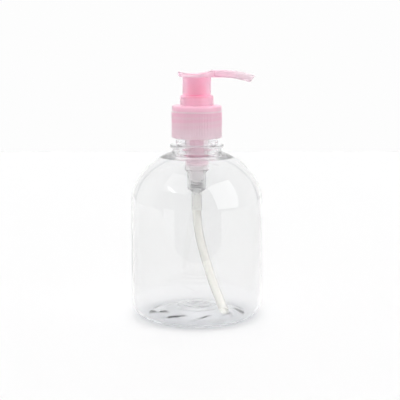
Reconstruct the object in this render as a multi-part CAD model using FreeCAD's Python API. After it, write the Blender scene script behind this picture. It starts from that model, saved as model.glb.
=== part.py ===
import FreeCAD, Part
import math
import os

# Half-litre round bottle with a 28/410 screw neck and a 2 ml lock-down lotion pump.
# Millimetres, +Z up, origin at the centre of the foot ring, spout towards +X.
# The pump stands in its locked-down state: the head is screwed down on the collar and
# the return spring is pressed together.

V = FreeCAD.Vector
UP = V(0, 0, 1)
ORIGIN = V(0, 0, 0)

# ---- driving dimensions -------------------------------------------------------------

# bottle
BODY_R = 42.5
BODY_WALL = 0.8
HEEL_R = 10.5
DOME_Z = 74.8
DOME_RISE = 35.5
DOME_TOP_R = 17.6
FOOT_FLAT = 0.8
PUSH_UP_R = 11.9
PUSH_UP_Z = 6.0
PUSH_UP_MIDDLE = (22.0, 3.3)
BASE_DISC_R = 10.6
BASE_DISC_Z = 7.6
BASE_CENTRE_Z = 8.2
WAIST_R = 15.7
WAIST_Z = 108.8
RING_R = 17.3
RING_Z = 110.8
RING_THICK = 1.5
NECK_LAND_R = 13.5
NECK_LAND_TOP = 116.4
NECK_ROOT_R = 12.6
NECK_BORE_R = 11.4
NECK_TOP = 133.6

# neck thread and closure thread, one right-hand helix each, half a pitch apart
PITCH = 4.23
THREAD_TURNS = 1.5
THREAD_BITE = 0.35
NECK_THREAD_R = 13.6
NECK_THREAD_Z = 124.4
NECK_THREAD_START = 180
THREAD_ROOT_W = 2.2
THREAD_CREST_W = 1.0

# closure
CLOSURE_R = 16.15
CLOSURE_BORE_R = 14.3
CLOSURE_THREAD_R = 12.95
CLOSURE_BOTTOM = 116.8
CLOSURE_TOP = 137.4
CLOSURE_BAND_Z = 133.6
CLOSURE_ROOF = 1.35
CLOSURE_HOLE_R = 9.3
RIBS = 96
RIB_DEPTH = 0.3

# pump housing
GASKET_THICK = 1.1
FLANGE_R = 12.9
FLANGE_THICK = 1.3
BARREL_R = 7.8
BARREL_BORE_R = 7.1
BARREL_BOTTOM = 95.8
CHAMBER_R = 6.1
CHAMBER_BORE_R = 5.3
CHAMBER_TOP = 94.1
CHAMBER_BOTTOM = 83.5
TAIL_R = 3.4
TAIL_TOP = 81.6
TAIL_BOTTOM = 69.8
HOUSING_NECK_R = 8.6
HOUSING_TOP = 142.2
VENT_R = 0.6
VENT_Z = 126.0
VALVE_HOLE_R = 1.4
SPRING_FLOOR = 83.8
CAGE_R = 2.95
CAGE_BORE_R = 2.35
CAGE_TOP = 86.7
CAGE_LIP_R = 1.6

# valve ball, spring and dip tube
BALL_R = 2.0
SPRING_WIRE = 0.8
SPRING_MEAN_R = 3.8
SPRING_TURNS = 5.6
TUBE_SOCKET_R = 2.9
TUBE_R = 2.88
TUBE_BORE_R = 2.15
TUBE_TOP = 79.2
TUBE_LEAN = math.radians(-50)
TUBE_CUT_DEG = 55
TUBE_CUT_AT = 0.25
TUBE_CUTTER = 20.0
TUBE_ROUTE = [(0, TUBE_TOP), (0, 64.0), (2.6, 52.0), (9.2, 37.5), (16.0, 24.0), (25.6, 10.2), (31.8, 0.0)]

# plunger
STROKE = 12.5
ROD_BOTTOM = 89.5
ROD_R = 4.2
ROD_FLANGE_R = 6.0
ROD_FLANGE_THICK = 1.2
ROD_PIN = 2.0
ROD_FIT_TOP = 112.2
ROD_TOP = 113.2
FLUTE_DEPTH = 1.6
FLUTE_W = 1.8
FLUTE_LENGTH = 14.0
PISTON_BOTTOM = 99.1
PISTON_TOP = 105.5
PISTON_LIP_R = 7.05
PISTON_PLAY = 0.8
PISTON_LIP = 0.8
PISTON_WEB = 1.2
PISTON_SKIN = 0.6
STEM_R = 4.9
STEM_BORE_R = 3.7
STEM_BOTTOM = 104.2
STEM_TOP = 151.0

# collar
COLLAR_R = 10.75
COLLAR_TOP = 144.1
COLLAR_ROOF = 1.7
COLLAR_HOLE_R = 5.2
COLLAR_POCKET_R = 6.5
COLLAR_POCKET_Z = 139.4
COLLAR_CORNER = 1.6
SLEEVE_GAP = 0.6
SLEEVE_BOTTOM = PISTON_TOP + STROKE + PISTON_PLAY + SLEEVE_GAP

# head
SKIRT_R = 9.2
SKIRT_WALL = 1.0
SKIRT_BOTTOM = 144.4
SOCKET_R = 5.75
SOCKET_BOTTOM = 140.0
ROOF_Z = 155.4
LIP_X = -12.0
LIP_Z = 156.1
LIP_TOP_Z = 159.1
SADDLE_X = -2.0
SADDLE_Z = 157.6
BROW_X = 9.5
BROW_Z = 159.7
PAD_END_X = 12.0
PAD_END_Z = 159.4
PAD_HALF_WIDTH = 9.6
SPOUT_ROOT_X = 9.0
SPOUT_Z = 157.4
SPOUT_STRAIGHT = 6.7
SPOUT_BEND_R = 62.0
SPOUT_BEND_DEG = 21.5
SPOUT_W = 6.6
SPOUT_H = 4.6
SPOUT_TIP_W = 5.4
SPOUT_TIP_H = 5.3
SPOUT_CORNER = 0.4
SPOUT_END = (35.4, 154.1)
SPOUT_CUT_DEG = 37
CHANNEL_R = 1.5
CHANNEL_TURN_Z = 154.4
DUCT_W = 5.0
DUCT_H = 4.0
DUCT_Z = 151.8
HEAD_CUTTER = 30.0
LOCK_PITCH = 4.0
LOCK_THREAD_R = 6.2
LOCK_THREAD_TURNS = 0.7
LOCK_THREAD_START = 90
LOCK_THREAD_ROOT_W = 1.3
LOCK_THREAD_CREST_W = 0.7
LOCK_GROOVE_R = 6.85
LOCK_GROOVE_TURNS = 1.5
LOCK_GROOVE_ROOT_W = 1.6
LOCK_GROOVE_CREST_W = 0.9
LOCK_RISE = 0.6


# ---- helpers ------------------------------------------------------------------------

def at(r, z):
    """A point of an outline: r out from the axis, z up."""
    return V(r, 0, z)


def line(a, b):
    return Part.makeLine(at(*a), at(*b))


def arc(a, through, b):
    return Part.Arc(at(*a), at(*through), at(*b)).toShape()


def ellipse_arc(radius, rise, z, r_end):
    """Quarter-dome outline from (radius, z) up to where its radius is r_end."""
    ellipse = Part.Ellipse(at(radius, z), at(0, z + rise), at(0, z))
    return Part.ArcOfEllipse(ellipse, 0, math.acos(r_end / radius)).toShape()


def dome_height(radius, rise, r):
    return rise * math.sqrt(1 - (r / radius) ** 2)


def turned_edges(edges):
    """The solid turned about Z from the closed outline that the edges make."""
    return Part.Face(Part.Wire(edges)).revolve(ORIGIN, UP, 360)


def turned(*corners):
    """The solid turned about Z from a closed outline of straight lines."""
    closed = corners + (corners[0],)
    return turned_edges([line(a, b) for a, b in zip(closed, closed[1:])])


def rod(radius, bottom, top):
    return Part.makeCylinder(radius, top - bottom, at(0, bottom))


def ring(outer, inner, bottom, top):
    return rod(outer, bottom, top).cut(rod(inner, bottom - 1, top + 1))


def helix_ridge(root_r, crest_r, bottom, pitch, turns, start_deg, root_w, crest_w):
    """A trapezoid ridge along a right-hand helix, sunk into its wall at root_r."""
    helix = Part.makeHelix(pitch, pitch * turns, root_r)
    section = Part.makePolygon([
        at(root_r, -root_w / 2),
        at(crest_r, -crest_w / 2),
        at(crest_r, crest_w / 2),
        at(root_r, root_w / 2),
        at(root_r, -root_w / 2),
    ])
    ridge = Part.Wire(helix.Edges).makePipeShell([section], True, True)
    ridge.rotate(ORIGIN, UP, start_deg)
    ridge.translate(V(0, 0, bottom))
    return ridge


def rounded(points):
    """A wire of straight runs joined by the largest tangent arcs that the runs allow."""
    share = 0.45
    edges = []
    radii = []
    here = points[0]
    for before, corner, after in zip(points, points[1:], points[2:]):
        back = before - corner
        ahead = after - corner
        reach = share * min(back.Length, ahead.Length)
        half_turn = (math.pi - back.getAngle(ahead)) / 2
        radii.append(reach / math.tan(half_turn))
        into = corner + back.normalize() * reach
        out = corner + ahead.normalize() * reach
        bisector = (back + ahead).normalize()
        middle = corner + bisector * radii[-1] * (1 / math.cos(half_turn) - 1)
        edges.append(Part.makeLine(here, into))
        edges.append(Part.Arc(into, middle, out).toShape())
        here = out
    edges.append(Part.makeLine(here, points[-1]))
    return Part.Wire(edges), radii


# ---- bottle -------------------------------------------------------------------------

def bottle_outline(wall):
    """The outline at a depth of wall in the skin, from the base's centre to the dome's end."""
    radius = BODY_R - wall
    rise = DOME_RISE - wall
    heel = HEEL_R - wall
    dome_r = DOME_TOP_R - wall
    dome_top = (dome_r, DOME_Z + dome_height(radius, rise, dome_r))
    heel_centre_r = BODY_R - HEEL_R
    slant = heel * math.sqrt(0.5)
    push_up_middle = (PUSH_UP_MIDDLE[0], PUSH_UP_MIDDLE[1] + wall)
    return [
        line((0, BASE_CENTRE_Z + wall), (BASE_DISC_R, BASE_DISC_Z + wall)),
        line((BASE_DISC_R, BASE_DISC_Z + wall), (PUSH_UP_R, PUSH_UP_Z + wall)),
        arc((PUSH_UP_R, PUSH_UP_Z + wall), push_up_middle, (heel_centre_r - FOOT_FLAT, wall)),
        line((heel_centre_r - FOOT_FLAT, wall), (heel_centre_r, wall)),
        arc((heel_centre_r, wall), (heel_centre_r + slant, HEEL_R - slant), (radius, HEEL_R)),
        line((radius, HEEL_R), (radius, DOME_Z)),
        ellipse_arc(radius, rise, DOME_Z, dome_r),
    ], dome_top


def bottle():
    outside, dome_top = bottle_outline(0)
    ring_top = RING_Z + RING_THICK
    outside += [
        arc(dome_top, (WAIST_R + 0.5, dome_top[1] + 0.5), (WAIST_R, WAIST_Z)),
        line((WAIST_R, WAIST_Z), (WAIST_R, WAIST_Z + 0.8)),
        line((WAIST_R, WAIST_Z + 0.8), (RING_R, RING_Z)),
        arc((RING_R, RING_Z), (RING_R + 0.3, RING_Z + RING_THICK / 2), (RING_R, ring_top)),
        line((RING_R, ring_top), (NECK_LAND_R, ring_top + 0.3)),
        line((NECK_LAND_R, ring_top + 0.3), (NECK_LAND_R, NECK_LAND_TOP)),
        line((NECK_LAND_R, NECK_LAND_TOP), (NECK_ROOT_R, NECK_LAND_TOP + 0.9)),
        line((NECK_ROOT_R, NECK_LAND_TOP + 0.9), (NECK_ROOT_R, NECK_TOP - 0.4)),
        line((NECK_ROOT_R, NECK_TOP - 0.4), (NECK_ROOT_R - 0.4, NECK_TOP)),
        line((NECK_ROOT_R - 0.4, NECK_TOP), (0, NECK_TOP)),
        line((0, NECK_TOP), (0, BASE_CENTRE_Z)),
    ]
    inside, inner_top = bottle_outline(BODY_WALL)
    throat = (NECK_BORE_R, RING_Z + 1.2)
    inside += [
        arc(inner_top, (NECK_BORE_R + 1.5, WAIST_Z + 0.4), throat),
        line(throat, (NECK_BORE_R, NECK_TOP + 1)),
        line((NECK_BORE_R, NECK_TOP + 1), (0, NECK_TOP + 1)),
        line((0, NECK_TOP + 1), (0, BASE_CENTRE_Z + BODY_WALL)),
    ]
    thread = helix_ridge(NECK_ROOT_R - THREAD_BITE, NECK_THREAD_R, NECK_THREAD_Z, PITCH,
                         THREAD_TURNS, NECK_THREAD_START, THREAD_ROOT_W, THREAD_CREST_W)
    return turned_edges(outside).fuse(thread).cut(turned_edges(inside))


# ---- closure and gasket -------------------------------------------------------------

def rib_band(bottom, top):
    """A disc whose rim is cut into fine upright ribs."""
    rim = []
    for i in range(2 * RIBS + 1):
        radius = CLOSURE_R - RIB_DEPTH * (i % 2)
        turn = math.pi * i / RIBS
        rim.append(V(radius * math.cos(turn), radius * math.sin(turn), bottom))
    return Part.Face(Part.makePolygon(rim)).extrude(V(0, 0, top - bottom))


def closure():
    rim = 0.8
    corner = 1.0
    band_r = CLOSURE_R - 0.15
    cap = turned(
        (0, CLOSURE_BAND_Z),
        (band_r, CLOSURE_BAND_Z),
        (band_r - 0.15, CLOSURE_TOP - corner),
        (band_r - 0.15 - 0.3 * corner, CLOSURE_TOP - 0.3 * corner),
        (band_r - 0.15 - corner, CLOSURE_TOP),
        (0, CLOSURE_TOP),
    )
    foot = turned(
        (0, CLOSURE_BOTTOM),
        (CLOSURE_R - 0.4, CLOSURE_BOTTOM),
        (CLOSURE_R, CLOSURE_BOTTOM + 0.4),
        (CLOSURE_R, CLOSURE_BOTTOM + rim),
        (0, CLOSURE_BOTTOM + rim),
    )
    shell = foot.fuse([rib_band(CLOSURE_BOTTOM + rim, CLOSURE_BAND_Z), cap])
    shell = shell.cut(rod(CLOSURE_BORE_R, CLOSURE_BOTTOM - 1, CLOSURE_TOP - CLOSURE_ROOF))
    front_deg = 270
    start_deg = 90
    neck_at_front = NECK_THREAD_Z + PITCH * (front_deg - NECK_THREAD_START) / 360
    rise_to_front = PITCH * (front_deg - start_deg) / 360
    thread = helix_ridge(CLOSURE_BORE_R + THREAD_BITE, CLOSURE_THREAD_R,
                         neck_at_front - PITCH / 2 - rise_to_front, PITCH,
                         THREAD_TURNS, start_deg, THREAD_ROOT_W, THREAD_CREST_W)
    return shell.fuse(thread).cut(rod(CLOSURE_HOLE_R, CLOSURE_BOTTOM, CLOSURE_TOP + 1))


def gasket():
    return ring(NECK_ROOT_R + 0.1, BARREL_R, NECK_TOP, NECK_TOP + GASKET_THICK)


# ---- pump housing, valve, spring and dip tube ---------------------------------------

FLANGE_BOTTOM = NECK_TOP + GASKET_THICK
FLANGE_TOP = FLANGE_BOTTOM + FLANGE_THICK


def housing():
    seat_top = TAIL_TOP - 0.2
    outside = turned(
        (0, TAIL_BOTTOM),
        (TAIL_R, TAIL_BOTTOM),
        (TAIL_R, TAIL_TOP),
        (CHAMBER_R, CHAMBER_BOTTOM),
        (CHAMBER_R, CHAMBER_TOP),
        (BARREL_R, BARREL_BOTTOM),
        (BARREL_R, FLANGE_BOTTOM),
        (FLANGE_R, FLANGE_BOTTOM),
        (FLANGE_R, FLANGE_TOP),
        (HOUSING_NECK_R, FLANGE_TOP),
        (HOUSING_NECK_R, HOUSING_TOP),
        (0, HOUSING_TOP),
    )
    barrel = turned(
        (0, SPRING_FLOOR),
        (CHAMBER_BORE_R, SPRING_FLOOR),
        (CHAMBER_BORE_R, CHAMBER_TOP + 0.4),
        (BARREL_BORE_R, BARREL_BOTTOM + 0.4),
        (BARREL_BORE_R, HOUSING_TOP + 1),
        (0, HOUSING_TOP + 1),
    )
    ball_bore = turned(
        (0, seat_top - 0.5),
        (VALVE_HOLE_R, seat_top - 0.5),
        (CAGE_BORE_R, seat_top + 0.6),
        (CAGE_BORE_R, CAGE_TOP - 0.7),
        (0, CAGE_TOP - 0.7),
    )
    cage = rod(CAGE_R, seat_top, CAGE_TOP)
    body = outside.cut(barrel).fuse(cage).cut(ball_bore)
    body = body.cut([
        rod(VALVE_HOLE_R, TAIL_BOTTOM, seat_top),
        rod(CAGE_LIP_R, seat_top, CAGE_TOP + 1),
        rod(TUBE_SOCKET_R, TAIL_BOTTOM - 1, TUBE_TOP),
        Part.makeCylinder(VENT_R, BARREL_R + 1, V(0, 0, VENT_Z), V(-1, 0, 0)),
    ])
    ridges = []
    for z in (TAIL_BOTTOM + 0.5, TAIL_BOTTOM + 2.8):
        ridges.append(turned((TAIL_R - 0.1, z - 0.5), (TAIL_R + 0.3, z), (TAIL_R - 0.1, z + 0.5)))
    return body.fuse(ridges)


def inlet_ball():
    seat_edge = TAIL_TOP - 0.7
    rest = seat_edge + math.sqrt(BALL_R ** 2 - VALVE_HOLE_R ** 2) + 0.25
    return Part.makeSphere(BALL_R, V(0, 0, rest))


def return_spring():
    """Steel coil pressed between the chamber floor and the piston rod."""
    bottom = SPRING_FLOOR + SPRING_WIRE / 2 + 0.02
    top = ROD_BOTTOM - SPRING_WIRE / 2 - 0.02
    helix = Part.makeHelix((top - bottom) / SPRING_TURNS, top - bottom, SPRING_MEAN_R)
    section = Part.Wire(Part.makeCircle(SPRING_WIRE / 2, V(SPRING_MEAN_R, 0, 0), V(0, 1, 0)))
    coil = Part.Wire(helix.Edges).makePipeShell([section], True, True)
    coil.translate(V(0, 0, bottom))
    return coil


def dip_tube():
    """The tube hangs straight in its socket, then leans to the heel at the front right."""
    points = [V(out * math.cos(TUBE_LEAN), out * math.sin(TUBE_LEAN), z) for out, z in TUBE_ROUTE]
    path, radii = rounded(points)
    print("dip tube length %.1f, bend radii" % path.Length, ["%.0f" % r for r in radii])

    def swept(radius):
        section = Part.Wire(Part.makeCircle(radius, points[0], UP))
        return path.makePipeShell([section], True, False)

    tube = swept(TUBE_R).cut(swept(TUBE_BORE_R))
    print("dip tube volume %.1f, section times length %.1f" % (
        tube.Volume, math.pi * (TUBE_R ** 2 - TUBE_BORE_R ** 2) * path.Length))
    half = TUBE_CUTTER / 2
    knife = Part.makeBox(TUBE_CUTTER, TUBE_CUTTER, TUBE_CUTTER, V(-half, -half, -TUBE_CUTTER))
    knife.rotate(ORIGIN, V(1, 0, 0), -TUBE_CUT_DEG)
    knife.translate(points[-2] + (points[-1] - points[-2]) * TUBE_CUT_AT)
    return tube.cut(knife)


# ---- plunger ------------------------------------------------------------------------

def piston_rod():
    """Carries the piston, feeds the stem through three flutes and presses the spring."""
    flange_bottom = PISTON_BOTTOM - ROD_FLANGE_THICK
    fit = STEM_BORE_R - 0.02
    body = turned(
        (0, ROD_BOTTOM - ROD_PIN),
        (CAGE_R - 0.1, ROD_BOTTOM - ROD_PIN),
        (CAGE_R - 0.1, ROD_BOTTOM),
        (ROD_R, ROD_BOTTOM),
        (ROD_R, flange_bottom),
        (ROD_FLANGE_R, flange_bottom),
        (ROD_FLANGE_R, PISTON_BOTTOM),
        (fit, PISTON_BOTTOM),
        (fit, ROD_FIT_TOP),
        (fit - ROD_TOP + ROD_FIT_TOP, ROD_TOP),
        (0, ROD_TOP),
    )
    flute = Part.makeBox(FLUTE_DEPTH, FLUTE_W, FLUTE_LENGTH,
                         V(fit - FLUTE_DEPTH, -FLUTE_W / 2, PISTON_BOTTOM + 0.6))
    flutes = []
    for turn in (0, 120, 240):
        cutter = flute.copy()
        cutter.rotate(ORIGIN, UP, turn)
        flutes.append(cutter)
    return body.cut(flutes)


def piston():
    """Ring with an outer lip that wipes the barrel; it floats on the rod as outlet valve."""
    hub_top = STEM_BOTTOM - PISTON_PLAY
    hub_bore = STEM_BORE_R + 0.05
    web_bottom = PISTON_BOTTOM + PISTON_WEB
    web_top = web_bottom + PISTON_WEB
    wall_r = PISTON_LIP_R - 0.3
    inner_r = wall_r - PISTON_SKIN
    edge_r = PISTON_LIP_R - 0.5
    return turned(
        (hub_bore, PISTON_BOTTOM),
        (STEM_R, PISTON_BOTTOM),
        (STEM_R, web_bottom),
        (inner_r, web_bottom),
        (edge_r, PISTON_BOTTOM),
        (PISTON_LIP_R, PISTON_BOTTOM),
        (PISTON_LIP_R, PISTON_BOTTOM + PISTON_LIP),
        (wall_r, web_bottom),
        (wall_r, PISTON_TOP - PISTON_WEB),
        (PISTON_LIP_R, PISTON_TOP - PISTON_LIP),
        (PISTON_LIP_R, PISTON_TOP),
        (edge_r, PISTON_TOP),
        (inner_r, web_top),
        (STEM_R, web_top),
        (STEM_R, hub_top),
        (hub_bore, hub_top),
    )


def stem():
    return turned(
        (STEM_BORE_R, STEM_BOTTOM),
        (STEM_R - 0.3, STEM_BOTTOM),
        (STEM_R, STEM_BOTTOM + 0.3),
        (STEM_R, STEM_TOP),
        (STEM_BORE_R, STEM_TOP),
    )


# ---- collar -------------------------------------------------------------------------

def collar():
    """Snaps over the housing neck, keeps the closure captive and guides the stem."""
    skirt_bottom = CLOSURE_TOP + 0.15
    corner = COLLAR_CORNER
    slant = corner * math.sqrt(0.5)
    outside = turned_edges([
        line((0, SLEEVE_BOTTOM), (BARREL_BORE_R, SLEEVE_BOTTOM)),
        line((BARREL_BORE_R, SLEEVE_BOTTOM), (BARREL_BORE_R, HOUSING_TOP)),
        line((BARREL_BORE_R, HOUSING_TOP), (HOUSING_NECK_R, HOUSING_TOP)),
        line((HOUSING_NECK_R, HOUSING_TOP), (HOUSING_NECK_R, skirt_bottom)),
        line((HOUSING_NECK_R, skirt_bottom), (COLLAR_R, skirt_bottom)),
        line((COLLAR_R, skirt_bottom), (COLLAR_R, COLLAR_TOP - corner)),
        arc((COLLAR_R, COLLAR_TOP - corner),
            (COLLAR_R - corner + slant, COLLAR_TOP - corner + slant),
            (COLLAR_R - corner, COLLAR_TOP)),
        line((COLLAR_R - corner, COLLAR_TOP), (0, COLLAR_TOP)),
        line((0, COLLAR_TOP), (0, SLEEVE_BOTTOM)),
    ])
    groove = helix_ridge(COLLAR_POCKET_R - 0.3, LOCK_GROOVE_R, COLLAR_POCKET_Z + LOCK_RISE, LOCK_PITCH,
                         LOCK_GROOVE_TURNS, 0, LOCK_GROOVE_ROOT_W, LOCK_GROOVE_CREST_W)
    return outside.cut([
        rod(COLLAR_HOLE_R, SLEEVE_BOTTOM - 1, COLLAR_TOP + 1),
        rod(COLLAR_POCKET_R, COLLAR_POCKET_Z, COLLAR_TOP + 1),
        groove,
    ])


# ---- head ---------------------------------------------------------------------------

def spout_line(share):
    """Centre and droop of the spout, from its root at 0 to its far end at 1."""
    along = share * (SPOUT_STRAIGHT + SPOUT_BEND_R * math.radians(SPOUT_BEND_DEG))
    if along <= SPOUT_STRAIGHT:
        return V(SPOUT_ROOT_X + along, 0, SPOUT_Z), 0.0
    turn = (along - SPOUT_STRAIGHT) / SPOUT_BEND_R
    x = SPOUT_ROOT_X + SPOUT_STRAIGHT + SPOUT_BEND_R * math.sin(turn)
    z = SPOUT_Z - SPOUT_BEND_R * (1 - math.cos(turn))
    return V(x, 0, z), math.degrees(turn)


def rounded_rectangle(width, height, corner):
    """A closed wire in the YZ plane, width along Y and height along Z."""
    y = width / 2
    z = height / 2
    cut = corner * (1 - math.sqrt(0.5))
    edges = []
    for quarter in range(4):
        if quarter % 2:
            u, v = z, y
        else:
            u, v = y, z
        side = Part.makeLine(V(0, u, -v + corner), V(0, u, v - corner))
        bend = Part.Arc(V(0, u, v - corner), V(0, u - cut, v - cut), V(0, u - corner, v)).toShape()
        for edge in (side, bend):
            edge.rotate(ORIGIN, V(1, 0, 0), 90 * quarter)
            edges.append(edge)
    return Part.Wire(edges)


def spout():
    wires = []
    for share in (0, 0.25, 0.5, 0.75, 1.0):
        centre, droop = spout_line(share)
        width = SPOUT_W + (SPOUT_TIP_W - SPOUT_W) * share
        height = SPOUT_H + (SPOUT_TIP_H - SPOUT_H) * share
        wire = rounded_rectangle(width, height, SPOUT_CORNER * height)
        wire.rotate(ORIGIN, V(0, 1, 0), droop)
        wire.translate(centre)
        wires.append(wire)
    return Part.makeLoft(wires, True)


def channel():
    """The liquid's way from the stem through the roof and along the spout."""
    centres = [V(0, 0, STEM_TOP - 0.5), V(0, 0, CHANNEL_TURN_Z)]
    for share in (0.1, 0.3, 0.45, 0.6, 0.75, 0.9, 1.1):
        centres.append(spout_line(share)[0])
    pieces = []
    for a, b in zip(centres, centres[1:]):
        pieces.append(Part.makeCylinder(CHANNEL_R, (b - a).Length, a, b - a))
        pieces.append(Part.makeSphere(CHANNEL_R, b))
    return pieces[0].fuse(pieces[1:])


def head():
    top_curve = arc((LIP_X, LIP_TOP_Z), (SADDLE_X, SADDLE_Z), (BROW_X, BROW_Z))
    side = Part.Face(Part.Wire([
        top_curve,
        line((BROW_X, BROW_Z), (PAD_END_X, PAD_END_Z)),
        line((PAD_END_X, PAD_END_Z), (PAD_END_X, ROOF_Z)),
        line((PAD_END_X, ROOF_Z), (-SKIRT_R, ROOF_Z)),
        line((-SKIRT_R, ROOF_Z), (LIP_X, LIP_Z)),
        line((LIP_X, LIP_Z), (LIP_X, LIP_TOP_Z)),
    ]))
    side.translate(V(0, -PAD_HALF_WIDTH - 1, 0))
    slab = side.extrude(V(0, 2 * PAD_HALF_WIDTH + 2, 0))
    half_length = (PAD_END_X - LIP_X) / 2
    plan = Part.Ellipse(ORIGIN, half_length, PAD_HALF_WIDTH).toShape()
    plan.translate(V(LIP_X + half_length, 0, SKIRT_BOTTOM))
    pad = slab.common(Part.Face(Part.Wire(plan)).extrude(V(0, 0, HEAD_CUTTER)))
    skirt = ring(SKIRT_R, SKIRT_R - SKIRT_WALL, SKIRT_BOTTOM, ROOF_Z + 0.2)
    socket = rod(SOCKET_R, SOCKET_BOTTOM, ROOF_Z + 0.2)
    duct = Part.makeBox(SKIRT_R - 0.4, DUCT_W, DUCT_H, V(0, -DUCT_W / 2, DUCT_Z))
    thread = helix_ridge(SOCKET_R - 0.2, LOCK_THREAD_R, SOCKET_BOTTOM + LOCK_RISE, LOCK_PITCH,
                         LOCK_THREAD_TURNS, LOCK_THREAD_START, LOCK_THREAD_ROOT_W, LOCK_THREAD_CREST_W)
    solid = pad.fuse([skirt, socket, duct, thread, spout()])
    solid = solid.cut([rod(STEM_R, SOCKET_BOTTOM - 1, STEM_TOP), channel()])
    half = HEAD_CUTTER / 2
    knife = Part.makeBox(HEAD_CUTTER, HEAD_CUTTER, HEAD_CUTTER, V(0, -half, -half))
    knife.rotate(ORIGIN, V(0, 1, 0), SPOUT_CUT_DEG)
    knife.translate(at(*SPOUT_END))
    return solid.cut(knife)


# ---- output -------------------------------------------------------------------------

PIECES = {
    "bottle": bottle,
    "closure": closure,
    "neck_gasket": gasket,
    "pump_housing": housing,
    "inlet_ball": inlet_ball,
    "return_spring": return_spring,
    "dip_tube": dip_tube,
    "piston_rod": piston_rod,
    "piston": piston,
    "stem": stem,
    "lock_collar": collar,
    "pump_head": head,
}

os.makedirs("parts", exist_ok=True)
for name, make in PIECES.items():
    shape = make()
    solids = shape.Solids
    box = shape.BoundBox
    print("%-14s solids %d valid %s volume %9.1f  x %.1f..%.1f  y %.1f..%.1f  z %.1f..%.1f" % (
        name, len(solids), shape.isValid(), shape.Volume,
        box.XMin, box.XMax, box.YMin, box.YMax, box.ZMin, box.ZMax))
    if len(solids) != 1:
        raise ValueError(name + " must be one solid")
    solids[0].exportStep("parts/" + name + ".step")
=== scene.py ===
import math

import bmesh
import bpy
from bpy.props import FloatProperty, FloatVectorProperty, IntProperty, PointerProperty
from mathutils import Matrix, Vector


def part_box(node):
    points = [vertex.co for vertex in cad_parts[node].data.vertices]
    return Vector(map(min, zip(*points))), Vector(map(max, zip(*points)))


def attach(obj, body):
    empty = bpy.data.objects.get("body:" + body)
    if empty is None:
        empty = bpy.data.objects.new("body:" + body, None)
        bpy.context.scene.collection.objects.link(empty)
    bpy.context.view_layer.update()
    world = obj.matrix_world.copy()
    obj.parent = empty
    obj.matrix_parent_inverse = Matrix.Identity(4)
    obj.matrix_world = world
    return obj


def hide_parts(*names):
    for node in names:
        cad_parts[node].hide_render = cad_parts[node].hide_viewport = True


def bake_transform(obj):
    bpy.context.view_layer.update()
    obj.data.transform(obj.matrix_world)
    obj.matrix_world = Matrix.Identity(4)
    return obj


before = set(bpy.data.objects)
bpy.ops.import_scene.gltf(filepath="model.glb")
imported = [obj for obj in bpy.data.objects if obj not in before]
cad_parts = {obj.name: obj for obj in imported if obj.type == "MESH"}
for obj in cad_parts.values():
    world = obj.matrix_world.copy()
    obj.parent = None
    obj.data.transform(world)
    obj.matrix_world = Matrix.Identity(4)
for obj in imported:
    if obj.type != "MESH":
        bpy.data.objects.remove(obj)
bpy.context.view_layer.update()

bl_info = {
    "name": "Pump Oil Bottle",
    "version": (1, 0, 0),
    "blender": (4, 5, 0),
    "location": "View3D > Sidebar > Pump Bottle",
    "description": "Builds a clear round bottle with a translucent screw-down lotion pump",
    "category": "Add Mesh",
}

MM = 0.001


# ---- sizes read from the frame, in millimetres ----------------------------------------

def low_high(node):
    """Lowest and highest corner of a node, in millimetres."""
    low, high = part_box(node)
    return low / MM, high / MM


def half_width(node):
    low, high = low_high(node)
    return (high.x - low.x) / 2


BODY_R = half_width("bottle")
NECK_TOP = low_high("bottle")[1].z
CLOSURE_R = half_width("closure")
CLOSURE_BOTTOM = low_high("closure")[0].z
CLOSURE_TOP = low_high("closure")[1].z
COLLAR_R = half_width("lock_collar")
COLLAR_TOP = low_high("lock_collar")[1].z
SLEEVE_BOTTOM = low_high("lock_collar")[0].z
GASKET_LOW, GASKET_HIGH = low_high("neck_gasket")
TAIL_BOTTOM = low_high("pump_housing")[0].z
HOUSING_TOP = low_high("pump_housing")[1].z
SPRING_LOW, SPRING_HIGH = low_high("return_spring")
PISTON_LOW, PISTON_HIGH = low_high("piston")
STEM_LOW, STEM_HIGH = low_high("stem")
HEAD_LOW, HEAD_HIGH = low_high("pump_head")
BALL_LOW, BALL_HIGH = low_high("inlet_ball")

# wall sizes that the boxes can't give
WALL = 0.8
HEEL_R = 10.5
DOME_Z = 74.8
DOME_RISE = 35.5
DOME_TOP_R = 17.6
WAIST_R = 15.7
WAIST_Z = 108.8
RING_R = 17.3
RING_Z = 110.8
RING_THICK = 1.5
LAND_R = 13.5
LAND_TOP = 116.4
NECK_ROOT_R = 12.6
NECK_BORE_R = 11.4
THROAT_R = 12.9
THROAT_Z = 104.7
STAND_RING_W = 0.8
PITCH = 4.23
THREAD_TURNS = 1.5
THREAD_ROOT_W = 2.2
THREAD_CREST_W = 1.0
NECK_THREAD_Z = 124.4
CLOSURE_THREAD_Z = 121.23
CLOSURE_BORE_R = 14.3
CLOSURE_BAND_Z = 133.6
CLOSURE_HOLE_R = 9.3
BARREL_R = 7.8
BARREL_BORE_R = 7.1
CHAMBER_R = 6.1
CHAMBER_BORE_R = 5.3
TAIL_R = 3.4
TUBE_R = 2.88
TUBE_BORE_R = 2.15
TUBE_TOP = 79.2
TUBE_LEAN = math.radians(-50)
TUBE_ROUTE = [
    (0, TUBE_TOP), (0, 72.5), (0, 64.0), (2.6, 52.0), (9.2, 37.5), (16.0, 24.0), (25.6, 10.2), (31.8, 0.0)]
TUBE_CUT_DEG = 55
TUBE_CUT_AT = 0.25
TUBE_SIDES = 48
FLANGE_R = 12.9
ROD_BOTTOM = 87.5
STEM_R = 4.9
STEM_BORE_R = 3.7
SKIRT_R = 9.2
SOCKET_R = 5.75
ROOF_Z = 155.4
SPOUT_Z = 157.4
SPOUT_ROOT_X = 9.0
SPOUT_STRAIGHT = 6.7
SPOUT_BEND_R = 62.0
SPOUT_BEND_DEG = 21.5
SPOUT_END = (35.4, 154.1)
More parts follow.
